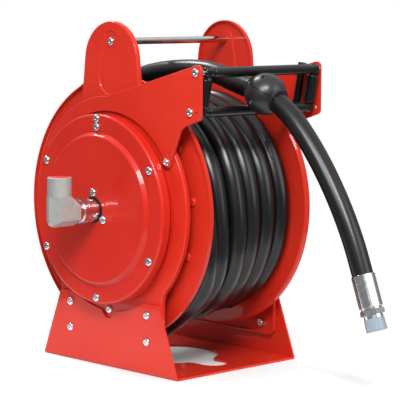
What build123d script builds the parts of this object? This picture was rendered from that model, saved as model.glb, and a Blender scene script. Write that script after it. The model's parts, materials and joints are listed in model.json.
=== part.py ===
from build123d import *
import math
import os

# Spring-rewind hose reel on a twin-pedestal frame. Millimetres.
# +Z is up, X is the reel's axis, the hose leaves towards -Y, and the inlet is on the -X side ("near").
# The origin is the centre of the base's mounting holes, on the underside of the base.

# ---------------------------------------------------------------- driving dimensions
AXIS_Z = 291.0                 # height of the reel's axis
HOSE_R = 18.5                  # 1 inch bore rubber hose, 37 mm outside
SHEET = 4.0                    # base and side plates
PLATE_X = 149.0                # outer face of each side plate
BRACKET_SHEET = 5.0            # guide brackets

# Base
BASE_HALF_DEPTH = 182.0        # at the floor
BASE_TOP_HALF_DEPTH = 133.0    # at the top of an upright
UPRIGHT_TOP = 128.0
UPRIGHT_ARC_R = 188.0          # the upright's top edge follows the spring case
BASE_HOLE_R = 5.5
BASE_HOLE_X = 112.0
BASE_HOLE_Y = 155.0
BASE_WINDOW_R = 92.0
BASE_LOBE_R = 27.0
BASE_LOBE_Y = 118.0
BASE_SCREW_Y = 104.0
BASE_SCREW_Z = (60.0, 108.0)

# Side plates
PLATE_R = 200.0
PLATE_LIP = 9.0                # depth of the rolled edge, measured from the outer face
LIP_T = 3.0
FOOT_HALF_WIDTH = 137.0
FOOT_BOTTOM = 40.0
EAR_R = 70.0
EAR_Z = 558.0
EAR_LEAN = 6.0                 # degrees, each side of the ear leans inwards by this
EAR_ROOT_Z = 430.0
EAR_FLARE_R = 45.0             # where the ear runs out into the round plate
HANDLE_Z = 592.0
HANDLE_R = 6.3
PRESSING = 2.0                 # depth of the panel pressed into the ear, towards the drum
PRESS_TOP = (15.0, 594.0)      # radius and height of the panel's two round ends
PRESS_BOTTOM = (29.0, 527.0)
PRESS_WALL = 2.5               # how far the panel's wall slopes
PLATE_HOLE_R = 22.0

# Guide brackets
BRACKET_R = 203.0
BRACKET_HOLE_R = 176.0
BRACKET_FRONT_Y = -238.0
TAB_R = 11.0
TAB_SCREWS = ((-153.0, 385.0), (153.0, 385.0))
FOOT_SCREW = (0.0, 106.0)
PEEP_HOLE = (-227.0, 474.0)
PEEP_HOLE_R = 3.2

# Spring case
CASE_FACE_X = -181.0           # outer face of the cover's ring
COVER_R = 172.0
COVER_SHEET = 3.0
COVER_LIP_X = -162.0           # inner end of the cover's lip
DISC_BASE_R = 139.0
DISC_TOP_R = 133.0
DISC_RISE = 8.0
CASE_WALL_R = 160.0
CASE_FLANGE_R = 168.5
COVER_RIM_FILLET = 5.0
COVER_SCREW_R = 160.0
TOP_SCREW_R = 148.5
ANCHOR_SCREW_R = 164.0
HUB_SCREW_R = 31.5
SEAL_R = 23.4

# Shaft and swivel
SHAFT_R = 17.0
SPIGOT_R = 15.0
FLOW_R = 11.0
SWIVEL_R = 18.6
RUNNING = 0.05                 # radial running clearance
ELBOW_X = -268.0
NECK_END_X = -236.0            # where the swivel's neck screws into the elbow
ELBOW_FLAT = 42.4              # across the flats of the elbow's two hexagonal legs
ELBOW_SHOULDER = 321.0         # height where the upright leg turns round
ELBOW_TOP = 355.0
ELBOW_LEG_R = 21.6
ELBOW_HEEL_R = 15.0
PORT_R = 15.15                 # tapping size of a 1 inch pipe thread
PORT_LENGTH = 20.0
PLUG_SEAT_R = 17.5
PLUG_SEAT_DEPTH = 4.0

# Drum
DRUM_MID_X = -3.0
DRUM_HALF_GAP = 116.5
DISC_R = 240.0
DISC_SHEET = 2.5
DISC_LIP = 8.0
CORE_R = 135.0
TURN_PITCH = 38.6
TURNS = 6
TOP_LAYER_R = 191.0            # centre line of the hose's second and upper layer
RIVET_R = 190.0
RIVETS = 12

# Roller guide
UPPER_YZ = (-234.5, 544.0)     # axes of the two long rollers
LOWER_YZ = (-221.5, 475.0)
GUIDE_SCREW_BACK = 9.5         # the bracket screws sit this far behind the rollers
CORNER_X = 135.0               # axis of each side roller
ROLLER_R = 9.0
SIDE_ROLLER_R = 10.5
ROLLER_HALF = 122.0
AXLE_R = 4.0
SIDE_AXLE_R = 3.0
BOSS_R = 8.0                   # domed boss of a corner block, on the side roller's axis
LUG_R = 7.5
SPACER_R = 4.8
POST_BACK = 28.5               # the tie post stands this far behind the side roller
POST_R = 6.8

# Free hose. The plane it runs in, the points of its route as (y, z), and what is on it.
HOSE_X = -22.0
LEAD_R = 229.0                 # centre line of the hose where it lies on the drum
LEAD_STEP = 30.0               # degrees between the corners around the drum
LEAD_ANGLES = (120.0, 90.0, 60.0)
LEAD_RUN = 100.0               # straight line from the start to the first corner
ROUTE_YZ = (
    (124.0, 497.0),
    (44.0, 529.0),
    (-44.0, 541.0),
    (-134.0, 541.5),
    (-206.0, 518.0),
    (-262.0, 508.0),
    (-318.0, 480.0),
    (-378.0, 419.0),
    (-431.0, 345.0),
    (-470.5, 272.5),
    (-494.5, 211.0),
    (-507.5, 176.0),
)
BALL_ALONG = 420.0             # from the hose's outer end to the ball, along the hose
BALL_R = 37.0
BALL_COLLAR_R = 21.5
BALL_COLLAR_REACH = (33.0, 35.0)  # from the ball's centre, towards the rollers and away
BALL_SEAM_GAP = 0.4            # from the seam's plane to each half
BALL_TURN = -23.0              # degrees the ball's seam is turned about the hose
BALL_SCREW_X = 27.0            # from the hose's centre line
BALL_RECESS = 15.0             # from the seam to the bottom of a screw's recess
FERRULE_R = 20.4
FERRULE_LENGTH = 56.0
HOSE_IN_FERRULE = 38.0
THREAD_R = 16.6                # 1 inch pipe thread
THREAD_LENGTH = 22.0
NUT_START = 3.3                # of the hexagon nut, past the ferrule
HOSE_NUT_FLAT = 37.0
HOSE_NUT_H = 9.4
CAP_START = 19.0               # of the cap, past the ferrule
CAP_LENGTH = 21.5
CAP_R = (17.6, 18.5)           # at its mouth and at its closed end

# Fasteners: M8 button heads
SCREW_R = 4.0
HEAD_R = 7.6
HEAD_H = 4.4
SOCKET_FLAT = 5.0
NUT_FLAT = 13.0
NUT_H = 6.5


# ---------------------------------------------------------------- helpers
def write(name, *solids):
    """One node: one or more solids in one STEP file."""
    found = [s for shape in solids for s in shape.solids()]
    shape = found[0] if len(found) == 1 else Compound(children=found)
    export_step(shape, f"parts/{name}.step")


def turned(*profile):
    """A solid of revolution about the reel's axis from points (x, radius)."""
    face = make_face(Polyline(*profile, close=True))
    return Pos(0, 0, AXIS_Z) * revolve(Plane.XZ * face, Axis.X, 360)


def ring(x0, x1, outer, inner=0.0):
    return turned((x0, inner), (x1, inner), (x1, outer), (x0, outer))


def sheet(face, x0, x1):
    """A flat face drawn in (y, z), made solid between x0 and x1."""
    return extrude(Plane.YZ.offset(x0) * face, x1 - x0, dir=(1, 0, 0))


def dot(radius, y, z):
    return Pos(y, z) * Circle(radius)


def around(radius, degrees):
    """(y, z) of a point at an angle from straight up, turning towards the back (+Y)."""
    angle = math.radians(degrees)
    return radius * math.sin(angle), AXIS_Z + radius * math.cos(angle)


def along_x(shape, x, y, z, out):
    """Puts a shape drawn along +Z so that it points along X, outwards if out is the side's sign."""
    return Pos(x, y, z) * Rot(0, 90 * out, 0) * shape


def button_screw(length, radius=SCREW_R, head_r=HEAD_R):
    """Button-head screw: underside of the head at z = 0, shank down, hexagon socket in the head."""
    dome = Pos(0, 0, HEAD_H / 2) * Cylinder(head_r, HEAD_H)
    dome = fillet(dome.edges().group_by(Axis.Z)[-1], HEAD_H * 0.8)
    socket = extrude(Pos(0, 0, HEAD_H - 2.6) * RegularPolygon(SOCKET_FLAT / 2, 6, major_radius=False), 5)
    return dome - socket + Pos(0, 0, -length / 2) * Cylinder(radius, length)


def nut():
    """Hexagon nut on the XY plane, its thread modelled as a plain hole."""
    return extrude(RegularPolygon(NUT_FLAT / 2, 6, major_radius=False) - Circle(SCREW_R), NUT_H)


def screws(points, x, side, length):
    return [along_x(button_screw(length), x, y, z, side) for y, z in points]


def drilled(part, points, radius=SCREW_R + 0.25):
    """Cuts holes along X right through a part."""
    for y, z in points:
        part -= Pos(0, y, z) * Rot(0, 90, 0) * Cylinder(radius, 800)
    return part


def both_sides(part):
    return part, mirror(part, about=Plane.YZ)


# ---------------------------------------------------------------- base
def base_screw_points():
    return [(y, z) for y in (-BASE_SCREW_Y, BASE_SCREW_Y) for z in BASE_SCREW_Z]


def base_frame():
    """Floor plate and both uprights, one folded sheet."""
    outer = PLATE_X + SHEET
    floor = Rectangle(2 * outer, 2 * BASE_HALF_DEPTH)
    window = Circle(BASE_WINDOW_R)
    for y in (-BASE_LOBE_Y, BASE_LOBE_Y):
        window += Pos(0, y) * Circle(BASE_LOBE_R)
        window += Pos(0, y * 0.8) * Rectangle(2 * BASE_LOBE_R, BASE_LOBE_Y * 0.4)
    corners = window.vertices().filter_by(lambda v: 40 < abs(v.Y) < BASE_WINDOW_R)
    window = fillet(corners, 14)
    floor -= window
    for x in (-BASE_HOLE_X, BASE_HOLE_X):
        for y in (-BASE_HOLE_Y, BASE_HOLE_Y):
            floor -= Pos(x, y) * Circle(BASE_HOLE_R)
    frame = extrude(floor, SHEET)
    outline = Polygon(
        (-BASE_HALF_DEPTH, 0), (BASE_HALF_DEPTH, 0),
        (BASE_TOP_HALF_DEPTH, UPRIGHT_TOP), (-BASE_TOP_HALF_DEPTH, UPRIGHT_TOP), align=None,
    )
    outline = fillet(outline.vertices().filter_by(lambda v: v.Y > 1), 7)
    notch = Polygon((-26, 112), (26, 112), (7, 90), (-7, 90), align=None)
    notch = fillet(notch.vertices().filter_by(lambda v: v.Y < 100), 6)
    outline -= dot(UPRIGHT_ARC_R, 0, AXIS_Z) + notch
    upright = drilled(sheet(outline, -outer, -PLATE_X), base_screw_points())
    near, far = both_sides(upright)
    frame = frame + near + far
    low_edges = frame.edges().filter_by(Axis.Y).filter_by(lambda e: abs(e.center().Z) < 0.1)
    folds = low_edges.filter_by(lambda e: abs(e.center().X) > outer - 0.1)
    return fillet(folds, SHEET + 1.5)


# ---------------------------------------------------------------- side plates
def side_plate_outline():
    lean = math.radians(EAR_LEAN)
    touch_y = EAR_R * math.cos(lean)
    touch_z = EAR_Z + EAR_R * math.sin(lean)
    root_y = touch_y + (touch_z - EAR_ROOT_Z) * math.tan(lean)
    ear = Polygon(
        (-root_y, EAR_ROOT_Z), (root_y, EAR_ROOT_Z), (touch_y, touch_z), (-touch_y, touch_z), align=None,
    )
    foot = Pos(0, (FOOT_BOTTOM + AXIS_Z) / 2) * Rectangle(2 * FOOT_HALF_WIDTH, AXIS_Z - FOOT_BOTTOM)
    outline = dot(PLATE_R, 0, AXIS_Z) + ear + dot(EAR_R, 0, EAR_Z) + foot
    outline = fillet(outline.vertices().filter_by(lambda v: 440 < v.Y < 500), EAR_FLARE_R)
    outline = fillet(outline.vertices().filter_by(lambda v: 120 < v.Y < 200), 34)
    return fillet(outline.vertices().filter_by(lambda v: v.Y < FOOT_BOTTOM + 1), 12)


def pressed_panel(grow):
    """Outline of the panel pressed into the ear: narrow round the screw, wide at the bottom."""
    ends = [dot(radius + grow, 0, z) for radius, z in (PRESS_TOP, PRESS_BOTTOM)]
    return make_hull(ends[0].edges() + ends[1].edges())


def side_plate():
    """The near plate. Its far twin is its mirror image."""
    outline = side_plate_outline()
    lip = outline - offset(outline, -LIP_T)
    plate = sheet(outline, -PLATE_X, -PLATE_X + SHEET) + sheet(lip, -PLATE_X, -PLATE_X + PLATE_LIP)
    rim = plate.faces().sort_by(Axis.X)[0].outer_wire().edges()
    plate = fillet(rim, LIP_T - 0.4)
    inner = -PLATE_X + SHEET
    boss = extrude(Plane.YZ.offset(inner) * pressed_panel(PRESS_WALL), PRESSING, dir=(1, 0, 0), taper=35)
    recess = extrude(Plane.YZ.offset(-PLATE_X) * pressed_panel(PRESS_WALL), PRESSING, dir=(1, 0, 0), taper=35)
    plate = plate + boss - recess
    plate -= ring(-PLATE_X - 10, -PLATE_X + 20, PLATE_HOLE_R)
    holes = base_screw_points() + [FOOT_SCREW, (0, HANDLE_Z)] + list(TAB_SCREWS)
    return drilled(plate, holes)


# ---------------------------------------------------------------- handle
def handle_rod():
    length = 2 * (PLATE_X - SHEET - PRESSING)
    rod = Pos(0, 0, HANDLE_Z) * Rot(0, 90, 0) * Cylinder(HANDLE_R, length)
    for side in (-1, 1):
        rod -= Pos(side * length / 2, 0, HANDLE_Z) * Rot(0, 90, 0) * Cylinder(SCREW_R, 44)
    return rod


def handle_screws():
    return [along_x(button_screw(24), side * (PLATE_X - PRESSING), 0, HANDLE_Z, side) for side in (-1, 1)]


# ---------------------------------------------------------------- guide brackets
def guide_screw_points():
    return [(y + GUIDE_SCREW_BACK, z) for y, z in (UPPER_YZ, LOWER_YZ)]


def bracket_outline():
    arc_y = 98.0
    arc_z = AXIS_Z + math.sqrt(BRACKET_R ** 2 - arc_y ** 2)
    arm = Polygon(
        (arc_y, arc_z), (BRACKET_FRONT_Y, 560), (BRACKET_FRONT_Y, 463), (-190, 447),
        (-165, 388), (-100, 400), align=None,
    )
    arm = fillet(arm.vertices().filter_by(lambda v: v.X < -230), 10)
    tail = Polygon((0, AXIS_Z), (0, 600), (300, 600), (300, 464), align=None)
    outline = arm + (dot(BRACKET_R, 0, AXIS_Z) & tail)
    outline -= dot(BRACKET_HOLE_R, 0, AXIS_Z)
    for y, z in TAB_SCREWS:
        outline += dot(TAB_R, y, z)
    inside = outline.vertices().filter_by(lambda v: v.X < -180 and v.Y > 440 and v.Y < 450)
    return fillet(inside, 25)


def guide_bracket():
    plate = sheet(bracket_outline(), -PLATE_X - BRACKET_SHEET, -PLATE_X)
    outer = plate.faces().sort_by(Axis.X)[0].outer_wire().edges()
    plate = chamfer(outer, 0.8)
    plate = drilled(plate, list(TAB_SCREWS) + guide_screw_points())
    return drilled(plate, [PEEP_HOLE], PEEP_HOLE_R)


# ---------------------------------------------------------------- spring case
def cover_screw_points():
    rest = [around(COVER_SCREW_R, angle) for angle in range(60, 360, 60)]
    return rest + [around(TOP_SCREW_R, 0)]


def hub_screw_points():
    return [around(HUB_SCREW_R, angle) for angle in (0, 120, 240)]


def spring_case():
    """A channel-section ring that stands on the near side plate."""
    inner_face = CASE_FACE_X + COVER_SHEET
    lip = COVER_LIP_X - 8
    foot = -PLATE_X - 5
    case = turned(
        (-PLATE_X, 150), (-PLATE_X, CASE_FLANGE_R), (foot, CASE_FLANGE_R), (foot - 1.5, CASE_WALL_R),
        (lip, CASE_WALL_R), (lip, CASE_FLANGE_R), (inner_face, CASE_FLANGE_R),
        (inner_face, 142), (lip, 142), (lip, 154), (foot, 154), (foot, 150),
    )
    return drilled(case, cover_screw_points() + [around(ANCHOR_SCREW_R, 0)], SCREW_R)


def outermost_circle(part, radius):
    """The circle of this radius that is furthest towards -X."""
    circles = part.edges().filter_by(GeomType.CIRCLE)
    return circles.filter_by(lambda e: abs(e.radius - radius) < 0.1).sort_by(Axis.X)[0]


def spring_case_cover():
    inside = COVER_R - COVER_SHEET
    face = CASE_FACE_X
    back = face + COVER_SHEET
    cover = turned(
        (COVER_LIP_X, inside), (COVER_LIP_X, COVER_R), (face, COVER_R), (face, DISC_BASE_R),
        (face - DISC_RISE, DISC_TOP_R), (face - DISC_RISE, SEAL_R), (back - DISC_RISE, SEAL_R),
        (back - DISC_RISE, DISC_TOP_R - 1), (back, DISC_BASE_R - 1), (back, inside),
    )
    cover = fillet(outermost_circle(cover, COVER_R), COVER_RIM_FILLET)
    cover = fillet(outermost_circle(cover, DISC_TOP_R), 4)
    points = cover_screw_points() + hub_screw_points() + [around(ANCHOR_SCREW_R, 0)]
    return drilled(cover, points)


def main_spring():
    """The spiral strip, drawn as half rings that grow by half a pitch each."""
    strip, pitch, first = 2.0, 10.0, 36.0
    spiral = None
    for half in range(20):
        inner = first + half * pitch / 2
        centre = 0.0 if half % 2 == 0 else pitch / 2
        face = Circle(inner + strip) - Circle(inner)
        face &= Pos(0, 500 if half % 2 == 0 else -500) * Rectangle(1000, 1000)
        piece = Pos(0, 0, AXIS_Z) * extrude(Plane.YZ.offset(-176) * (Pos(-centre, 0) * face), 20)
        spiral = piece if spiral is None else spiral + piece
    return spiral


# ---------------------------------------------------------------- shaft, bearings and swivel
def arbor_shaft():
    spigot_end, step, far_end = -212.0, -178.0, 158.0
    hub_end, hub_r = -154.0, 33.0
    shaft = turned(
        (spigot_end, FLOW_R), (spigot_end, SPIGOT_R), (step, SPIGOT_R), (step, hub_r), (hub_end, hub_r),
        (hub_end, SHAFT_R), (far_end, SHAFT_R), (far_end, 0), (60, 0), (60, FLOW_R),
    )
    riser = Pos(20, 0, AXIS_Z + 10) * Cylinder(FLOW_R, 40)
    return shaft - riser


def bearing():
    """Flanged bearing housing inside the near side plate, in two pieces: housing and bush."""
    inner = PLATE_X - SHEET
    housing = turned(
        (-inner, 22), (-inner, 46), (-inner + 5, 46), (-inner + 5, 32), (-inner + 13, 32), (-inner + 13, 22),
    )
    bush = ring(-inner, -inner + 15, 22, SHAFT_R + RUNNING)
    return housing, bush


def far_end_cap():
    """Domed cap over the far end of the shaft."""
    radius, height, wall = 46, 16, 3
    cap = ring(PLATE_X, PLATE_X + height, radius) - ring(PLATE_X, PLATE_X + height - wall, radius - wall)
    rim = cap.edges().filter_by(lambda e: e.geom_type == GeomType.CIRCLE and abs(e.radius - radius) < 0.1)
    return fillet(rim.sort_by(Axis.X)[-1], 6)


def swivel_neck():
    """Barrel that turns on the shaft's spigot, with three collars outside the cover."""
    bore = SPIGOT_R + RUNNING
    end, step = -180.5, -214.0
    return turned(
        (end, bore), (step, bore), (step, FLOW_R), (NECK_END_X, FLOW_R), (NECK_END_X, 20), (-225, 20),
        (-225, 22.5), (-215, 22.5), (-215, 20.2), (-212.5, 20.2), (-212.5, 21.6), (-203.5, 21.6),
        (-203.5, 19.4), (-200.5, 19.4), (-200.5, 20.6), (-192, 20.6), (-192, SWIVEL_R), (end, SWIVEL_R),
    )


def retaining_rings():
    return [ring(-215, -212.5, 22.6, 20.2), ring(-203.5, -200.5, 21.7, 19.4)]


def elbow_outline():
    """Side view of the elbow: a rectangle with the heel rounded."""
    corner = ELBOW_FLAT / 2 / math.cos(math.radians(30))
    left, right = ELBOW_X - corner, NECK_END_X
    bottom, top = AXIS_Z - corner, ELBOW_TOP
    outline = Polygon((left, bottom), (right, bottom), (right, top), (left, top), align=None)
    return fillet(outline.vertices().sort_by(Axis.X)[:2].sort_by(Axis.Y)[0], ELBOW_HEEL_R)


def elbow_body():
    """Two hexagonal legs that meet at the reel's axis, flats to the front and back, and a round top."""
    section = RegularPolygon(ELBOW_FLAT / 2, 6, major_radius=False)
    length = 2 * ELBOW_FLAT
    upright = Pos(ELBOW_X, 0, AXIS_Z) * extrude(section, length, both=True)
    arm = Pos(ELBOW_X, 0, AXIS_Z) * Rot(0, 90, 0) * extrude(section, length, both=True)
    above = Pos(ELBOW_X, 0, (AXIS_Z + ELBOW_SHOULDER) / 2) * Box(100, 100, ELBOW_SHOULDER - AXIS_Z)
    beside = Pos((ELBOW_X + NECK_END_X) / 2, 0, AXIS_Z) * Box(NECK_END_X - ELBOW_X, 100, 100)
    body = (upright & above) + (arm & beside) + (upright & arm)
    body &= extrude(Plane.XZ * elbow_outline(), 60, both=True)
    leg = Pos(ELBOW_X, 0, (AXIS_Z + ELBOW_TOP) / 2) * Cylinder(ELBOW_LEG_R, ELBOW_TOP - AXIS_Z)
    top_edge = leg.edges().filter_by(GeomType.CIRCLE).sort_by(Axis.Z)[-1]
    leg = chamfer(top_edge, 1.0)
    return body + (leg & Pos(ELBOW_X, 0, ELBOW_SHOULDER + 50) * Box(100, 100, 100))


def elbow():
    seat = Pos(ELBOW_X, 0, ELBOW_TOP - PLUG_SEAT_DEPTH / 2) * Cylinder(PLUG_SEAT_R, PLUG_SEAT_DEPTH)
    port_z = ELBOW_TOP - PLUG_SEAT_DEPTH - PORT_LENGTH / 2
    port = Pos(ELBOW_X, 0, port_z) * Cylinder(PORT_R, PORT_LENGTH)
    down = Pos(ELBOW_X, 0, AXIS_Z + 25) * Cylinder(FLOW_R, 50)
    across = Pos(ELBOW_X + 25, 0, AXIS_Z) * Rot(0, 90, 0) * Cylinder(FLOW_R, 50)
    knee = Pos(ELBOW_X, 0, AXIS_Z) * Sphere(FLOW_R)
    return elbow_body() - seat - port - down - across - knee


def inlet_plug():
    middle = ELBOW_TOP - PLUG_SEAT_DEPTH / 2 + 0.6
    lid = Pos(ELBOW_X, 0, middle) * Cylinder(PLUG_SEAT_R - 0.3, PLUG_SEAT_DEPTH)
    return fillet(lid.edges().group_by(Axis.Z)[-1], 1.2)


# ---------------------------------------------------------------- drum
def disc(side):
    """A drum side with its edge rolled outwards. side is -1 for near and +1 for far."""
    inner = DRUM_MID_X + side * DRUM_HALF_GAP
    outer = inner + side * DISC_SHEET
    plate = turned(
        (inner, SHAFT_R), (inner, DISC_R - 3), (inner + side * 3, DISC_R), (outer + side * DISC_LIP, DISC_R),
        (outer + side * DISC_LIP, DISC_R - DISC_SHEET), (outer + side * 2, DISC_R - DISC_SHEET),
        (outer, DISC_R - DISC_SHEET - 2), (outer, SHAFT_R),
    )
    points = [around(RIVET_R, 360 / RIVETS * (k + 0.25)) for k in range(RIVETS)]
    plate = drilled(plate, points, SCREW_R)
    return drilled(plate, hub_bolt_points(), SCREW_R)


def rivets(side):
    inner = DRUM_MID_X + side * DRUM_HALF_GAP
    outer = inner + side * DISC_SHEET
    head = Pos(0, 0, 2.2) * Cylinder(8.0, 4.4)
    head = fillet(head.edges().group_by(Axis.Z)[-1], 3.9)
    stem = Pos(0, 0, -DISC_SHEET / 2) * Cylinder(SCREW_R, DISC_SHEET)
    points = [around(RIVET_R, 360 / RIVETS * (k + 0.25)) for k in range(RIVETS)]
    return [along_x(head + stem, outer, y, z, side) for y, z in points]


def hub_bolt_points():
    return [around(40, angle) for angle in range(30, 360, 60)]


def hub_flange(side):
    """Flange welded to the shaft, just inside a drum side."""
    inner = DRUM_MID_X + side * DRUM_HALF_GAP
    flange = ring(min(inner, inner - side * 8), max(inner, inner - side * 8), 55, SHAFT_R)
    return drilled(flange, hub_bolt_points(), SCREW_R)


def hub_bolts(side):
    outer = DRUM_MID_X + side * (DRUM_HALF_GAP + DISC_SHEET)
    return screws(hub_bolt_points(), outer, side, 10)


def drum_core():
    x0, x1 = DRUM_MID_X - DRUM_HALF_GAP, DRUM_MID_X + DRUM_HALF_GAP
    core = ring(x0, x1, CORE_R, CORE_R - 3)
    return core - Pos(20, 0, AXIS_Z + CORE_R) * Cylinder(16, 20)


def hose_riser():
    """Pipe that takes the water from the hollow shaft out through the core."""
    pipe = Cylinder(15, CORE_R - SHAFT_R - 4) - Cylinder(FLOW_R, CORE_R)
    pipe = Pos(20, 0, AXIS_Z + (CORE_R + SHAFT_R) / 2) * pipe
    return pipe - ring(-60, 60, SHAFT_R)


def turn_x(turn):
    return DRUM_MID_X + (turn - (TURNS - 1) / 2) * TURN_PITCH


def wound_hose():
    """The hose on the drum as one ring of its outer shape, with the turns of its upper layer."""
    low = CORE_R + 0.5
    first, last = turn_x(0) - HOSE_R, turn_x(TURNS - 1) + HOSE_R
    profile = Pos((first + last) / 2, (low + TOP_LAYER_R) / 2) * Rectangle(last - first, TOP_LAYER_R - low)
    for turn in range(TURNS):
        profile += Pos(turn_x(turn), TOP_LAYER_R) * Circle(HOSE_R)
    return Pos(0, 0, AXIS_Z) * revolve(Plane.XZ * profile, Axis.X, 360)


# ---------------------------------------------------------------- ratchet
RATCHET_X = (122.0, 128.5)
RATCHET_R = 75.0
TEETH = 12
PAWL_PIVOT = (88.0, AXIS_Z + 32.0)
PAWL_PIN_R = 5.0
PAWL_LATCH = 29.0              # degrees: the steep face of the tooth that the pawl holds


def ratchet_wheel():
    """Saw teeth on a wheel keyed to the shaft. Each steep face looks the way the spring turns the drum."""
    outline = []
    for tooth in range(TEETH):
        face = PAWL_LATCH - 360 / TEETH * tooth
        outline.append(around(RATCHET_R - 11, face))
        outline.append(around(RATCHET_R, face - 0.5))
        outline.append(around(RATCHET_R - 5, face - 15))
    return sheet(Polygon(*outline, align=None) - dot(SHAFT_R, 0, AXIS_Z), *RATCHET_X)


def pawl():
    """Its tip stands in the root behind a steep face, so the drum can only unwind until it is lifted."""
    y, z = PAWL_PIVOT
    tip = around(RATCHET_R - 8.5, PAWL_LATCH + 0.8)
    underside = around(RATCHET_R + 3, PAWL_LATCH + 9)
    heel = around(RATCHET_R + 10, PAWL_LATCH - 1)
    beak = Polygon(tip, underside, (y + 4, z - 8), (y - 5, z + 8), heel, align=None)
    body = sheet(beak + dot(10, y, z), *RATCHET_X)
    return drilled(body, [PAWL_PIVOT], PAWL_PIN_R + RUNNING)


def pawl_pin():
    head_x, shoulder_x = 118.0, 121.0
    pin = Pos(0, *PAWL_PIVOT) * Rot(0, 90, 0) * extrude(Circle(PAWL_PIN_R), PLATE_X)
    pin &= sheet(dot(20, *PAWL_PIVOT), shoulder_x, PLATE_X)
    return pin + sheet(dot(8, *PAWL_PIVOT), head_x, shoulder_x)


def pawl_spring():
    """Coil round the pin, between the pawl and the side plate."""
    coil = Helix(pitch=2.6, height=10.4, radius=7.0)
    wire = sweep(Plane(origin=coil @ 0, z_dir=coil % 0) * Circle(0.9), path=coil)
    return Pos(131.0, *PAWL_PIVOT) * Rot(0, 90, 0) * wire


# ---------------------------------------------------------------- roller guide
LEAN = math.degrees(math.atan2(LOWER_YZ[0] - UPPER_YZ[0], UPPER_YZ[1] - LOWER_YZ[1]))
GUIDE_HEIGHT = math.hypot(UPPER_YZ[0] - LOWER_YZ[0], UPPER_YZ[1] - LOWER_YZ[1])


def guide_place(shape, x, up, back=0.0):
    """Puts a shape drawn along Z at a height up the leaning guide, from its lower roller."""
    return Pos(x, *LOWER_YZ) * Rot(LEAN, 0, 0) * Pos(0, back, up) * shape


def lug_along_x(side, start, end, y, z):
    return Pos(side * (start + end) / 2, y, z) * Rot(0, 90, 0) * Cylinder(LUG_R, end - start)


def corner_block(side, up):
    """Moulded corner: a domed boss for the side roller's axle, an arm for the long roller's, and two lugs."""
    over = 1 if up > 0 else -1
    boss = guide_place(Pos(0, 0, over) * Cylinder(BOSS_R, 2 * BOSS_R), side * CORNER_X, up)
    boss = fillet(boss.edges().filter_by(GeomType.CIRCLE).sort_by(Axis.Z)[-1 if over > 0 else 0], 5)
    roller_y, z = UPPER_YZ if up > 0 else LOWER_YZ
    screw_y = roller_y + GUIDE_SCREW_BACK
    arm = lug_along_x(side, ROLLER_HALF + 1, CORNER_X + BOSS_R, roller_y, z)
    screw_lug = lug_along_x(side, CORNER_X - 6, PLATE_X, screw_y, z)
    post_lug = guide_place(Cylinder(POST_R + 1, 10), side * CORNER_X, up, POST_BACK)
    web = guide_place(Box(8, POST_BACK, 10), side * CORNER_X, up, POST_BACK / 2)
    block = boss + arm + screw_lug + post_lug + web
    block -= guide_place(Cylinder(SIDE_AXLE_R, 300), side * CORNER_X, 0)
    block -= guide_spacer(side, roller_y, z)
    block -= Pos(0, roller_y, z) * Rot(0, 90, 0) * Cylinder(AXLE_R, 2 * (CORNER_X - 4))
    block -= Pos(side * (CORNER_X + 14), screw_y, z) * Rot(0, 90, 0) * Cylinder(SCREW_R, 20)
    return block - guide_place(Cylinder(SCREW_R, 300), side * CORNER_X, 0, POST_BACK)


def long_roller(yz):
    roller = Cylinder(ROLLER_R, 2 * ROLLER_HALF)
    roller = fillet(roller.edges().filter_by(GeomType.CIRCLE), 2)
    return Pos(0, *yz) * Rot(0, 90, 0) * (roller - Cylinder(AXLE_R + RUNNING, 300))


def side_roller(side):
    length = GUIDE_HEIGHT - 21
    roller = Cylinder(SIDE_ROLLER_R, length)
    roller = fillet(roller.edges().filter_by(GeomType.CIRCLE), 2)
    return guide_place(roller - Cylinder(SIDE_AXLE_R + RUNNING, 300), side * CORNER_X, GUIDE_HEIGHT / 2)


def roller_axles():
    """Two long axles and two short ones, held by the corner blocks."""
    rods = [Pos(0, *yz) * Rot(0, 90, 0) * Cylinder(AXLE_R, 2 * (CORNER_X - 4)) for yz in (UPPER_YZ, LOWER_YZ)]
    short = Cylinder(SIDE_AXLE_R, GUIDE_HEIGHT + 8)
    return rods + [guide_place(short, side * CORNER_X, GUIDE_HEIGHT / 2) for side in (-1, 1)]


def guide_posts():
    """Spacer posts behind the side rollers, each with a through bolt."""
    post = Cylinder(POST_R, GUIDE_HEIGHT - 10) + Cylinder(SCREW_R, GUIDE_HEIGHT + 10)
    return [guide_place(post, side * CORNER_X, GUIDE_HEIGHT / 2, POST_BACK) for side in (-1, 1)]


def guide_spacer(side, y, z):
    """Round spacer between a corner block and the bracket, in line with a long roller."""
    start = CORNER_X + BOSS_R
    return Pos(side * (PLATE_X + start) / 2, y, z) * Rot(0, 90, 0) * Cylinder(SPACER_R, PLATE_X - start)


def guide_spacers():
    return [guide_spacer(side, *yz) for side in (-1, 1) for yz in (UPPER_YZ, LOWER_YZ)]


def guide_screws():
    face = PLATE_X + BRACKET_SHEET
    return [screw for side in (-1, 1) for screw in screws(guide_screw_points(), side * face, side, 14)]


# ---------------------------------------------------------------- free hose
def hose_route():
    """Points of the free hose: round the back of the drum, over the top, through the rollers and down."""
    half_step = LEAD_STEP / 2
    corner_r = LEAD_R / math.cos(math.radians(half_step))
    past_tangent = LEAD_RUN - LEAD_R * math.tan(math.radians(half_step))
    start_r = math.hypot(LEAD_R, past_tangent)
    start_angle = LEAD_ANGLES[0] + half_step + math.degrees(math.atan2(past_tangent, LEAD_R))
    around_drum = [around(start_r, start_angle)] + [around(corner_r, angle) for angle in LEAD_ANGLES]
    return [(HOSE_X, y, z) for y, z in around_drum + list(ROUTE_YZ)]


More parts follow.
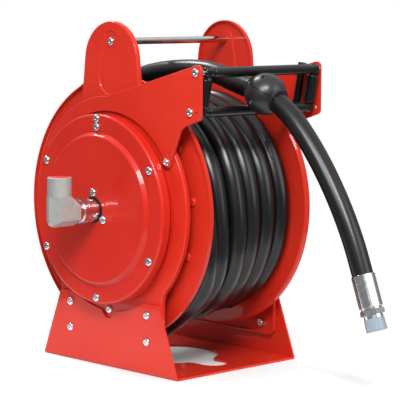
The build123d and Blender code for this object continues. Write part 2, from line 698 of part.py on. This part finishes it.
def route_radii(points):
    """0.45 of the shorter run, divided by the tangent of half the turn, at each corner."""
    radii = []
    for before, corner, after in zip(points, points[1:], points[2:]):
        run_in = Vector(*corner) - Vector(*before)
        run_out = Vector(*after) - Vector(*corner)
        half_turn = math.radians(run_in.get_angle(run_out)) / 2
        radii.append(0.45 * min(run_in.length, run_out.length) / math.tan(half_turn))
    return radii


def hose_path():
    points = hose_route()
    return FilletPolyline(*points, radius=route_radii(points))


def free_hose():
    print("hose radii", [round(r) for r in route_radii(hose_route())])
    path = hose_path()
    start = Plane(origin=path @ 0, z_dir=path % 0)
    tube = sweep(start * Circle(HOSE_R), path)
    ratio = tube.volume / (math.pi * HOSE_R ** 2 * path.length)
    print("hose length", round(path.length), "volume ratio", ratio)
    return tube


def end_place(shape, along):
    """Puts a shape drawn along +Z on the hose's end, at a distance past the end of the rubber."""
    points = hose_route()
    last = Vector(*points[-1])
    heading = (last - Vector(*points[-2])).normalized()
    return Plane(origin=last + heading * along, x_dir=(1, 0, 0), z_dir=heading) * shape


FERRULE_START = -HOSE_IN_FERRULE
FERRULE_END = FERRULE_START + FERRULE_LENGTH


def ferrule(tube):
    """Crimped sleeve: round ends and a pressed octagon between them."""
    sleeve = Pos(0, 0, FERRULE_LENGTH / 2) * Cylinder(FERRULE_R, FERRULE_LENGTH)
    flats = extrude(RegularPolygon(FERRULE_R - 0.8, 8, major_radius=False), FERRULE_LENGTH)
    sleeve = chamfer(sleeve.edges().filter_by(GeomType.CIRCLE), 1.0) & flats
    return end_place(sleeve, FERRULE_START) - tube


def hose_nipple():
    """Round shoulder and male pipe thread, one piece with the insert in the hose."""
    shoulder = extrude(Circle(THREAD_R + 1.5), NUT_START - 0.3)
    thread_start = NUT_START + HOSE_NUT_H + 0.3
    neck = extrude(Circle(THREAD_R - 1.2), thread_start + 2)
    thread = Pos(0, 0, thread_start) * extrude(Circle(THREAD_R), THREAD_LENGTH)
    body = shoulder + neck + thread
    return end_place(body - Pos(0, 0, 20) * Cylinder(FLOW_R, 60), FERRULE_END)


def swivel_nut():
    """Hexagon that turns on the nipple's neck."""
    corner = HOSE_NUT_FLAT / 2 / math.cos(math.radians(30))
    hexagon = extrude(RegularPolygon(HOSE_NUT_FLAT / 2, 6, major_radius=False), HOSE_NUT_H)
    blank = extrude(Circle(corner), HOSE_NUT_H)
    hexagon &= chamfer(blank.edges().filter_by(GeomType.CIRCLE), 1.2)
    bore = THREAD_R - 1.2 + RUNNING
    return end_place(hexagon - Pos(0, 0, 4) * Cylinder(bore, 20), FERRULE_END + NUT_START)


def thread_cap():
    """Plastic cap over the male thread, a little wider at its closed end."""
    cap = Pos(0, 0, CAP_LENGTH / 2) * Cone(CAP_R[0], CAP_R[1], CAP_LENGTH)
    cap = fillet(cap.edges().group_by(Axis.Z)[-1], 1.5)
    thread_end = NUT_START + HOSE_NUT_H + 0.3 + THREAD_LENGTH
    cap -= extrude(Circle(THREAD_R + RUNNING), thread_end + 0.3 - CAP_START)
    return end_place(cap, FERRULE_END + CAP_START)


def ball_frame():
    """Centred on the ball, +Z along the hose. The halves part across Y."""
    path = hose_path()
    at = 1 - BALL_ALONG / path.length
    return Plane(origin=path @ at, x_dir=(1, 0, 0), z_dir=path % at) * Rot(0, 0, BALL_TURN)


def ball_screw_shape(radius, length, side, end):
    """A cylinder that stands on the bottom of one of the four screw recesses."""
    stand = Rot(-90 * end, 0, 0) * extrude(Circle(radius), length)
    return Pos(side * BALL_SCREW_X, end * BALL_RECESS, 0) * stand


def ball_half(tube, end):
    """One shell of the stopper ball. The hose and the screw recesses are cut out of it."""
    back, front = BALL_COLLAR_REACH
    collar = Pos(0, 0, -back) * extrude(Circle(BALL_COLLAR_R), back + front)
    ball = Sphere(BALL_R) + collar
    ball &= Pos(0, end * (50 + BALL_SEAM_GAP), 0) * Box(100, 100, 100)
    for side in (-1, 1):
        ball -= ball_screw_shape(4.5, BALL_R, side, end)
    return ball_frame() * ball - tube


def ball_screws():
    """Socket cap heads at the bottoms of the recesses."""
    place = ball_frame()
    socket = extrude(RegularPolygon(2.5, 6, major_radius=False), 5)
    found = []
    for side in (-1, 1):
        for end in (-1, 1):
            head = ball_screw_shape(4.4, 5, side, end)
            socket_at = Pos(side * BALL_SCREW_X, end * (BALL_RECESS + 2), 0) * Rot(-90 * end, 0, 0) * socket
            found.append(place * (head - socket_at))
    return found


# ---------------------------------------------------------------- write every node
os.makedirs("parts", exist_ok=True)

write("base_frame", base_frame())
near_plate, far_plate = both_sides(side_plate())
write("near_side_plate", near_plate)
write("far_side_plate", drilled(far_plate, [PAWL_PIVOT], PAWL_PIN_R))
near_bracket, far_bracket = both_sides(guide_bracket())
write("near_guide_bracket", near_bracket)
write("far_guide_bracket", far_bracket)
bracket_face = PLATE_X + BRACKET_SHEET
for name, side in (("near", -1), ("far", 1)):
    tabs = screws(TAB_SCREWS, side * bracket_face, side, 14)
    write(f"{name}_bracket_screws", *tabs, *screws([FOOT_SCREW], side * PLATE_X, side, 9))
    write(f"{name}_base_screws", *screws(base_screw_points(), side * (PLATE_X + SHEET), side, 16))
    inner = side * (PLATE_X - SHEET)
    write(f"{name}_base_nuts", *[along_x(nut(), inner, y, z, -side) for y, z in base_screw_points()])

write("handle_rod", handle_rod())
write("handle_screws", *handle_screws())

write("spring_case", spring_case())
write("spring_case_cover", spring_case_cover())
write("cover_screws", *screws(cover_screw_points(), CASE_FACE_X, -1, 9))
write("spring_anchor_screw", *screws([around(ANCHOR_SCREW_R, 0)], CASE_FACE_X, -1, 9))
write("hub_screws", *screws(hub_screw_points(), CASE_FACE_X - DISC_RISE, -1, 6))
disc_face = CASE_FACE_X - DISC_RISE
write("hub_seal", ring(disc_face - 1.5, disc_face + COVER_SHEET, SEAL_R, SWIVEL_R + 0.3))
write("main_spring", main_spring())

near_housing, near_bush = bearing()
write("near_bearing_housing", near_housing)
write("near_bearing_bush", near_bush)
write("far_bearing_housing", mirror(near_housing, about=Plane.YZ))
write("far_bearing_bush", mirror(near_bush, about=Plane.YZ))
write("far_end_cap", far_end_cap())

write("arbor_shaft", arbor_shaft())
write("near_disc", disc(-1))
write("far_disc", disc(1))
write("disc_rivets", *rivets(-1), *rivets(1))
write("hub_flanges", hub_flange(-1), hub_flange(1))
write("hub_bolts", *hub_bolts(-1), *hub_bolts(1))
write("drum_core", drum_core())
write("hose_riser", hose_riser())
write("wound_hose", wound_hose())
write("ratchet_wheel", ratchet_wheel())
write("pawl", pawl())
write("pawl_pin", pawl_pin())
write("pawl_spring", pawl_spring())

write("swivel_neck", swivel_neck())
write("retaining_rings", *retaining_rings())
write("inlet_elbow", elbow())
write("inlet_plug", inlet_plug())

for name, side in (("near", -1), ("far", 1)):
    write(f"{name}_corner_blocks", corner_block(side, GUIDE_HEIGHT), corner_block(side, 0))
    write(f"{name}_side_roller", side_roller(side))
write("upper_roller", long_roller(UPPER_YZ))
write("lower_roller", long_roller(LOWER_YZ))
write("roller_axles", *roller_axles())
write("guide_posts", *guide_posts())
write("guide_spacers", *guide_spacers())
write("guide_screws", *guide_screws())

hose = free_hose()
write("free_hose", hose)
write("ball_upper_half", ball_half(hose, 1))
write("ball_lower_half", ball_half(hose, -1))
write("ball_screws", *ball_screws())
write("hose_ferrule", ferrule(hose))
write("hose_nipple", hose_nipple())
write("swivel_nut", swivel_nut())
write("thread_cap", thread_cap())
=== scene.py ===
import json
import math
import random

import bpy
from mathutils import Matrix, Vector


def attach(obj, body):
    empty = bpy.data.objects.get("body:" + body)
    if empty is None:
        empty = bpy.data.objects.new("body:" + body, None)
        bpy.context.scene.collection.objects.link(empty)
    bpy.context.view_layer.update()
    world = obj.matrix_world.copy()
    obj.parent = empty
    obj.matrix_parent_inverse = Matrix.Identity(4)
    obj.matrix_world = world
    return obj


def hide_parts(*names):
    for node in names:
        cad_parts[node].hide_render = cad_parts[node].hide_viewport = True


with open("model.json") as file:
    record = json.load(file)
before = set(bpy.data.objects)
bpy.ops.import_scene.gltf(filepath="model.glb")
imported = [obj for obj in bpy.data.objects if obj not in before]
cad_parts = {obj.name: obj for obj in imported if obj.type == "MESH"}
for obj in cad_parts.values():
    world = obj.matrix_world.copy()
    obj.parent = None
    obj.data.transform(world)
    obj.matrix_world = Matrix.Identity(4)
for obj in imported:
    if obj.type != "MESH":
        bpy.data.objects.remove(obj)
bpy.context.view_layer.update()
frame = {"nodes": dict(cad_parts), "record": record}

# Looks of the spring-rewind hose reel. Metres, in the frame of the CAD model: +Z up, X along the reel's
# axis, -Y the way the hose leaves, near side -X, origin under the middle of the base.

random.seed(7)

# ---------------------------------------------------------------- sizes shared with the CAD source
AXIS_Z = 0.291
HOSE_R = 0.0185

HOSE_X = -0.022
LEAD_R = 0.229
LEAD_STEP = 30.0
LEAD_ANGLES = (120.0, 90.0, 60.0)
LEAD_RUN = 0.100
ROUTE_YZ = (
    (0.124, 0.497),
    (0.044, 0.529),
    (-0.044, 0.541),
    (-0.134, 0.5415),
    (-0.206, 0.518),
    (-0.262, 0.508),
    (-0.318, 0.480),
    (-0.378, 0.419),
    (-0.431, 0.345),
    (-0.4705, 0.2725),
    (-0.4945, 0.211),
    (-0.5075, 0.176),
)

DRUM_MID_X = -0.003
TURN_PITCH = 0.0386
TURNS = 6
LAYER_R = (0.154, 0.191)       # centre lines of the lower and the upper layer


def around(radius, degrees):
    """(y, z) of a point at an angle from straight up, turning towards the back."""
    angle = math.radians(degrees)
    return radius * math.sin(angle), AXIS_Z + radius * math.cos(angle)


# ---------------------------------------------------------------- camera
CAMERA_AT = (-2.3883, -2.5192, 0.6860)
CAMERA_AIM = (0.0404, -0.0395, 0.2952)
CAMERA_ROLL = 0.4
FOCAL_MM = 168.45


def make_camera():
    data = bpy.data.cameras.new("camera")
    data.lens = FOCAL_MM
    camera = bpy.data.objects.new("camera", data)
    bpy.context.scene.collection.objects.link(camera)
    camera.location = CAMERA_AT
    heading = Vector(CAMERA_AIM) - Vector(CAMERA_AT)
    turn = heading.to_track_quat("-Z", "Y").to_matrix().to_4x4()
    camera.rotation_euler = turn.to_euler()
    camera.rotation_euler.rotate_axis("Z", math.radians(CAMERA_ROLL))
    bpy.context.scene.camera = camera


# ---------------------------------------------------------------- hose
def hose_curve(name, paths):
    """One curve object of plain hose. Each path's points are the control points of a smooth spline."""
    data = bpy.data.curves.new(name, "CURVE")
    data.dimensions = "3D"
    data.bevel_depth = HOSE_R
    data.bevel_resolution = 10
    data.resolution_u = 10
    data.use_fill_caps = True
    for points in paths:
        spline = data.splines.new("NURBS")
        spline.points.add(len(points) - 1)
        for point, place in zip(spline.points, points):
            point.co = (*place, 1.0)
        spline.order_u = 3
        spline.use_endpoint_u = True
    hose = bpy.data.objects.new(name, data)
    bpy.context.scene.collection.objects.link(hose)
    return hose


def free_hose_points():
    """The route of part.py: a start under the drum, corners round its back, then the listed points."""
    half_step = math.radians(LEAD_STEP / 2)
    corner_r = LEAD_R / math.cos(half_step)
    past_tangent = LEAD_RUN - LEAD_R * math.tan(half_step)
    start_r = math.hypot(LEAD_R, past_tangent)
    start_angle = LEAD_ANGLES[0] + LEAD_STEP / 2 + math.degrees(math.atan2(past_tangent, LEAD_R))
    on_drum = [around(start_r, start_angle)] + [around(corner_r, angle) for angle in LEAD_ANGLES]
    return [(HOSE_X, y, z) for y, z in on_drum + list(ROUTE_YZ)]


def make_free_hose():
    points = free_hose_points()
    hose = hose_curve("hose", [points])
    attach(hose, "frame")
    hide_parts("free_hose")
    return hose


POINT_STEP = 15.0              # degrees between the points of a turn
CROSSES_FROM = 200.0           # where a turn leaves its slot, below the drum
CROSSOVER = 50.0               # degrees until it is in the next slot
CLIMB_FROM = 200.0             # where the last turn climbs on to the layer below it
CLIMB = 25.0
CLIMB_CROSSES_FROM = 190.0
CLIMB_STOP = 4.0               # the climb's last point is at least this far short of the free hose
TOP_LAYER_SAG = (0.0, -0.006, 0.002, 0.0, 0.0, 0.0)   # of each slot, from the near side
UNEVEN = 0.0008                # how far a point of the upper layer strays from its turn
UNEVEN_X_SHARE = 0.2           # of it, along the drum
LOOSE = (0.044, 0.034, 0.024, 0.016, 0.010, 0.005)    # how far each slot's turn hangs off the drum
LOOSE_AT = 226.0               # low on the front, where the turns hang off most
LOOSE_SPREAD = 52.0            # degrees either way until they lie on the drum again


def slot_x(slot):
    """Place along the drum of a slot. Slot 0 is the nearest one."""
    return DRUM_MID_X + (slot - (TURNS - 1) / 2) * TURN_PITCH


def smooth(share):
    """Eases a share in and out, and keeps it from 0 to 1."""
    share = min(1.0, max(0.0, share))
    return share * share * (3 - 2 * share)


def between_slots(values, slot):
    """A value for a place between two slots, from one value for each slot."""
    low = min(TURNS - 1, int(slot))
    high = min(TURNS - 1, low + 1)
    return values[low] + (values[high] - values[low]) * (slot - low)


def hang(slot, angle):
    """How far a turn hangs off at an angle. The last one stays off, since it goes on to climb."""
    past = LOOSE_AT - angle % 360
    if slot < 0.5 and past > 0:
        return LOOSE[0]
    return between_slots(LOOSE, slot) * smooth(1 - abs(past) / LOOSE_SPREAD)


def layer_points(layer, sag, loose, uneven):
    """A layer of close turns from the far side to the near one, each in its slot until it crosses over.

    loose is the share by which the turns hang off the drum, uneven how far each point strays.
    """
    points = []
    steps_per_turn = int(360 / POINT_STEP)
    for index in range(TURNS * steps_per_turn - 1):
        turn, step = divmod(index, steps_per_turn)
        angle = CROSSES_FROM - step * POINT_STEP
        share = smooth(step * POINT_STEP / CROSSOVER) if turn else 1.0
        slot = TURNS - turn - share
        radius = LAYER_R[layer] + between_slots(sag, slot) + loose * hang(slot, angle)
        radius = radius / math.cos(math.radians(POINT_STEP / 2)) + random.uniform(-uneven, uneven)
        x = slot_x(slot) + random.uniform(-uneven, uneven) * UNEVEN_X_SHARE
        points.append((x, *around(radius, angle)))
    return points


def climb_points():
    """The last turn climbs on to its own layer and crosses to where the free hose starts."""
    end = free_hose_points()[0]
    end_radius = math.hypot(end[1], end[2] - AXIS_Z)
    end_angle = math.degrees(math.atan2(end[1], end[2] - AXIS_Z))
    start_radius = LAYER_R[1] + LOOSE[0]
    points = []
    angle = CLIMB_FROM
    while angle > end_angle + CLIMB_STOP:
        up = smooth((CLIMB_FROM - angle) / CLIMB)
        across = smooth((CLIMB_CROSSES_FROM - angle) / (CLIMB_CROSSES_FROM - end_angle))
        radius = start_radius + (end_radius - start_radius) * up
        x = slot_x(0) + (HOSE_X - slot_x(0)) * across
        points.append((x, *around(radius, angle)))
        angle -= POINT_STEP / 2
    return points + [end]


def make_wound_hose():
    """Both layers on the drum, which stand in for the plain ring of the CAD model."""
    level = (0.0,) * TURNS
    layers = [
        layer_points(0, level, 0.0, 0.0),
        layer_points(1, TOP_LAYER_SAG, 1.0, UNEVEN) + climb_points(),
    ]
    hose = hose_curve("hose_on_drum", layers)
    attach(hose, "drum")
    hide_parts("wound_hose")
    return hose


def refresh_bounds(curves):
    """A new curve's box holds its bare control points until the curve is evaluated a second time."""
    bpy.context.view_layer.update()
    for curve in curves:
        curve.update_tag(refresh={"OBJECT"})
    bpy.context.view_layer.update()


# ---------------------------------------------------------------- materials
def srgb(red, green, blue):
    """Linear colour of a screen colour given from 0 to 255."""
    def linear(value):
        value /= 255.0
        return value / 12.92 if value <= 0.04045 else ((value + 0.055) / 1.055) ** 2.4
    return linear(red), linear(green), linear(blue), 1.0


class Finish:
    """A material and short ways to add nodes to it."""

    def __init__(self, name, **sockets):
        self.material = bpy.data.materials.new(name)
        self.material.use_nodes = True
        self.tree = self.material.node_tree
        self.shader = self.tree.nodes["Principled BSDF"]
        for socket, value in sockets.items():
            self.shader.inputs[socket.replace("_", " ")].default_value = value
        self.place = self.tree.nodes.new("ShaderNodeTexCoord").outputs["Object"]

    def join(self, output, node, socket):
        self.tree.links.new(output, node.inputs[socket])

    def noise(self, scale, detail=3.0, stretch=(1.0, 1.0, 1.0), roughness=0.5):
        """Noise whose features are about 1 / scale metres across, in the object's own space."""
        mapping = self.tree.nodes.new("ShaderNodeMapping")
        mapping.inputs["Scale"].default_value = stretch
        self.join(self.place, mapping, "Vector")
        node = self.tree.nodes.new("ShaderNodeTexNoise")
        node.inputs["Scale"].default_value = scale
        node.inputs["Detail"].default_value = detail
        node.inputs["Roughness"].default_value = roughness
        self.join(mapping.outputs["Vector"], node, "Vector")
        return node.outputs["Fac"]

    def remap(self, output, low, high, to_low, to_high):
        node = self.tree.nodes.new("ShaderNodeMapRange")
        node.inputs["From Min"].default_value = low
        node.inputs["From Max"].default_value = high
        node.inputs["To Min"].default_value = to_low
        node.inputs["To Max"].default_value = to_high
        self.join(output, node, "Value")
        return node.outputs["Result"]

    def blend(self, share, first, second):
        """Colour that goes from first to second with share."""
        node = self.tree.nodes.new("ShaderNodeMix")
        node.data_type = "RGBA"
        self.join(share, node, "Factor")
        for socket, value in ((6, first), (7, second)):
            if isinstance(value, tuple):
                node.inputs[socket].default_value = value
            else:
                self.tree.links.new(value, node.inputs[socket])
        return node.outputs[2]

    def colour(self, output):
        self.join(output, self.shader, "Base Color")

    def roughness(self, output, low, high):
        """Roughness that goes from low to high over the middle of the noise's range."""
        self.join(self.remap(output, 0.3, 0.7, low, high), self.shader, "Roughness")

    def bump(self, output, depth):
        """Relief of this depth in metres."""
        node = self.tree.nodes.new("ShaderNodeBump")
        node.inputs["Distance"].default_value = depth
        self.join(output, node, "Height")
        earlier = self.shader.inputs["Normal"].links
        if earlier:
            self.tree.links.new(earlier[0].from_socket, node.inputs["Normal"])
        self.join(node.outputs["Normal"], self.shader, "Normal")


def paint(name, bright, dark, gloss):
    """Powder coat: orange peel under a glossy skin, a slightly uneven tone and a little dust."""
    finish = Finish(name, Coat_Weight=0.55, Coat_IOR=1.4, Specular_IOR_Level=0.15)
    tone = finish.remap(finish.noise(7.0), 0.35, 0.65, 0.0, 1.0)
    finish.colour(finish.blend(tone, bright, dark))
    finish.roughness(finish.noise(40.0, detail=4.0), gloss, gloss + 0.1)
    dust = finish.remap(finish.noise(25.0, detail=6.0), 0.45, 0.75, 0.02, 0.07)
    finish.join(dust, finish.shader, "Coat Roughness")
    finish.bump(finish.noise(160.0, detail=1.0), 0.00003)
    return finish.material


def rubber(name, bright, dark, gloss, grain):
    """Smooth extruded or moulded rubber with a faint bloom."""
    finish = Finish(name, Specular_IOR_Level=0.5)
    bloom = finish.remap(finish.noise(14.0, detail=6.0), 0.3, 0.7, 0.0, 1.0)
    finish.colour(finish.blend(bloom, bright, dark))
    finish.roughness(finish.noise(20.0, detail=2.0), gloss, gloss + 0.03)
    finish.bump(finish.noise(grain, detail=1.0), 0.00002)
    return finish.material


def bright_metal(name, tone, low, high, scratch=(1.0, 1.0, 1.0)):
    """Plated or machined metal with fine drawn marks."""
    finish = Finish(name, Metallic=1.0)
    dull_tone = tuple(0.86 * value for value in tone[:3]) + (1.0,)
    finish.colour(finish.blend(finish.noise(40.0, detail=4.0), tone, dull_tone))
    finish.roughness(finish.noise(130.0, detail=5.0, stretch=scratch), low, high)
    finish.bump(finish.noise(500.0, detail=2.0, stretch=scratch), 0.00002)
    return finish.material


def cast_metal(name):
    """Blasted and nickel-plated casting, dull and finely grained."""
    finish = Finish(name, Metallic=0.35)
    finish.colour(finish.blend(finish.noise(90.0, detail=5.0), srgb(176, 177, 174), srgb(152, 153, 150)))
    finish.roughness(finish.noise(200.0, detail=4.0), 0.36, 0.5)
    finish.bump(finish.noise(900.0, detail=3.0), 0.0001)
    return finish.material


def plastic(name, bright, dark, gloss):
    """Moulded plastic with a slight cloudiness."""
    finish = Finish(name)
    finish.colour(finish.blend(finish.noise(50.0, detail=4.0), bright, dark))
    finish.roughness(finish.noise(40.0, detail=2.0), gloss, gloss + 0.04)
    finish.bump(finish.noise(300.0, detail=1.0), 0.00001)
    return finish.material


def make_finishes():
    """One material for each slot of the record."""
    return {
        "red_paint": paint("red_paint", srgb(205, 46, 29), srgb(198, 40, 24), 0.4),
        "red_case_paint": paint("red_case_paint", srgb(195, 37, 23), srgb(188, 32, 19), 0.36),
        "hose_rubber": rubber("hose_rubber", srgb(16, 17, 19), srgb(11, 12, 14), 0.27, 60.0),
        "black_plastic": plastic("black_plastic", srgb(18, 18, 20), srgb(12, 12, 14), 0.2),
        "ball_rubber": rubber("ball_rubber", srgb(34, 34, 37), srgb(26, 26, 29), 0.3, 400.0),
        "zinc_screw": bright_metal("zinc_screw", srgb(220, 226, 232), 0.12, 0.24),
        "handle_chrome": bright_metal("handle_chrome", srgb(216, 214, 212), 0.06, 0.13, (0.05, 1.0, 1.0)),
        "cast_silver": cast_metal("cast_silver"),
        "fitting_steel": bright_metal("fitting_steel", srgb(220, 224, 228), 0.14, 0.26),
        "dark_steel": bright_metal("dark_steel", srgb(90, 90, 94), 0.3, 0.45),
        "bearing_bronze": bright_metal("bearing_bronze", srgb(176, 138, 84), 0.3, 0.45),
        "red_plug": plastic("red_plug", srgb(206, 50, 48), srgb(190, 40, 40), 0.4),
        "cap_plastic": plastic("cap_plastic", srgb(152, 166, 176), srgb(136, 151, 163), 0.2),
        "seal_rubber": rubber("seal_rubber", srgb(12, 12, 13), srgb(8, 8, 9), 0.5, 700.0),
    }


def give_finish(piece, material):
    """Makes this the only material of a piece."""
    piece.data.materials.clear()
    piece.data.materials.append(material)


def finish_cad_nodes(finishes):
    for subpart in frame["record"]["subparts"]:
        give_finish(frame["nodes"][subpart["node"]], finishes[subpart["material_slot"]])


# ---------------------------------------------------------------- stage
FLOOR_SIDE = 1.25              # so small that the side of the reel does not mirror it
FLOOR_DROP = 0.0002            # keeps it clear of the base's underside


def make_floor():
    bpy.ops.mesh.primitive_plane_add(size=FLOOR_SIDE, location=(0.0, 0.0, -FLOOR_DROP))
    floor = bpy.context.object
    floor.name = "floor"
    finish = Finish("floor_paper", Roughness=0.9, Specular_IOR_Level=0.1)
    finish.colour(finish.blend(finish.noise(3.0), srgb(238, 238, 238), srgb(235, 235, 235)))
    give_finish(floor, finish.material)


def make_sun(name, toward, width, strength):
    """A wide soft light at a great distance, so that it falls evenly on the floor. width in degrees."""
    data = bpy.data.lights.new(name, "SUN")
    data.angle = math.radians(width)
    data.energy = strength
    light = bpy.data.objects.new(name, data)
    bpy.context.scene.collection.objects.link(light)
    light.location = toward
    light.rotation_euler = (-Vector(toward)).to_track_quat("-Z", "Y").to_euler()


def make_softbox(name, place, aim, side, watts):
    """A square soft light close to the reel, so that its top is lit more than its base."""
    data = bpy.data.lights.new(name, "AREA")
    data.size = side
    data.energy = watts
    light = bpy.data.objects.new(name, data)
    bpy.context.scene.collection.objects.link(light)
    light.location = place
    light.rotation_euler = (Vector(aim) - Vector(place)).to_track_quat("-Z", "Y").to_euler()
    light.visible_camera = False


def make_world(side_level, top_level):
    """Pale light all round, brighter from above. The camera sees it as plain white."""
    world = bpy.data.worlds.new("studio")
    bpy.context.scene.world = world
    world.use_nodes = True
    tree = world.node_tree
    place = tree.nodes.new("ShaderNodeTexCoord")
    split = tree.nodes.new("ShaderNodeSeparateXYZ")
    tree.links.new(place.outputs["Generated"], split.inputs[0])
    height = tree.nodes.new("ShaderNodeMapRange")
    height.interpolation_type = "SMOOTHSTEP"
    height.inputs["From Min"].default_value = 0.05
    height.inputs["From Max"].default_value = 0.75
    height.inputs["To Min"].default_value = side_level
    height.inputs["To Max"].default_value = top_level
    tree.links.new(split.outputs["Z"], height.inputs["Value"])
    around_it = tree.nodes["Background"]
    around_it.inputs["Color"].default_value = (1.0, 1.0, 1.0, 1.0)
    tree.links.new(height.outputs["Result"], around_it.inputs["Strength"])
    seen = tree.nodes.new("ShaderNodeBackground")
    seen.inputs["Color"].default_value = (1.0, 1.0, 1.0, 1.0)
    mix = tree.nodes.new("ShaderNodeMixShader")
    tree.links.new(tree.nodes.new("ShaderNodeLightPath").outputs["Is Camera Ray"], mix.inputs["Fac"])
    tree.links.new(around_it.outputs[0], mix.inputs[1])
    tree.links.new(seen.outputs[0], mix.inputs[2])
    tree.links.new(mix.outputs[0], tree.nodes["World Output"].inputs["Surface"])


def make_studio():
    make_world(0.24, 0.85)
    make_sun("key", (-1.5, -1.6, 1.8), 18.0, 1.9)
    make_sun("fill", (0.8, -2.2, 1.0), 40.0, 0.8)
    make_sun("rim", (0.1, 1.3, 1.5), 14.0, 1.2)
    make_softbox("top", (-0.8, -0.6, 1.0), (-0.15, 0.0, 0.5), 0.4, 6.0)
    bpy.context.scene.view_settings.view_transform = "Standard"


# ---------------------------------------------------------------- build
make_camera()
free_hose = make_free_hose()
wound_hose = make_wound_hose()

finishes = make_finishes()
finish_cad_nodes(finishes)
give_finish(free_hose, finishes["hose_rubber"])
give_finish(wound_hose, finishes["hose_rubber"])

make_floor()
make_studio()

refresh_bounds([free_hose, wound_hose])
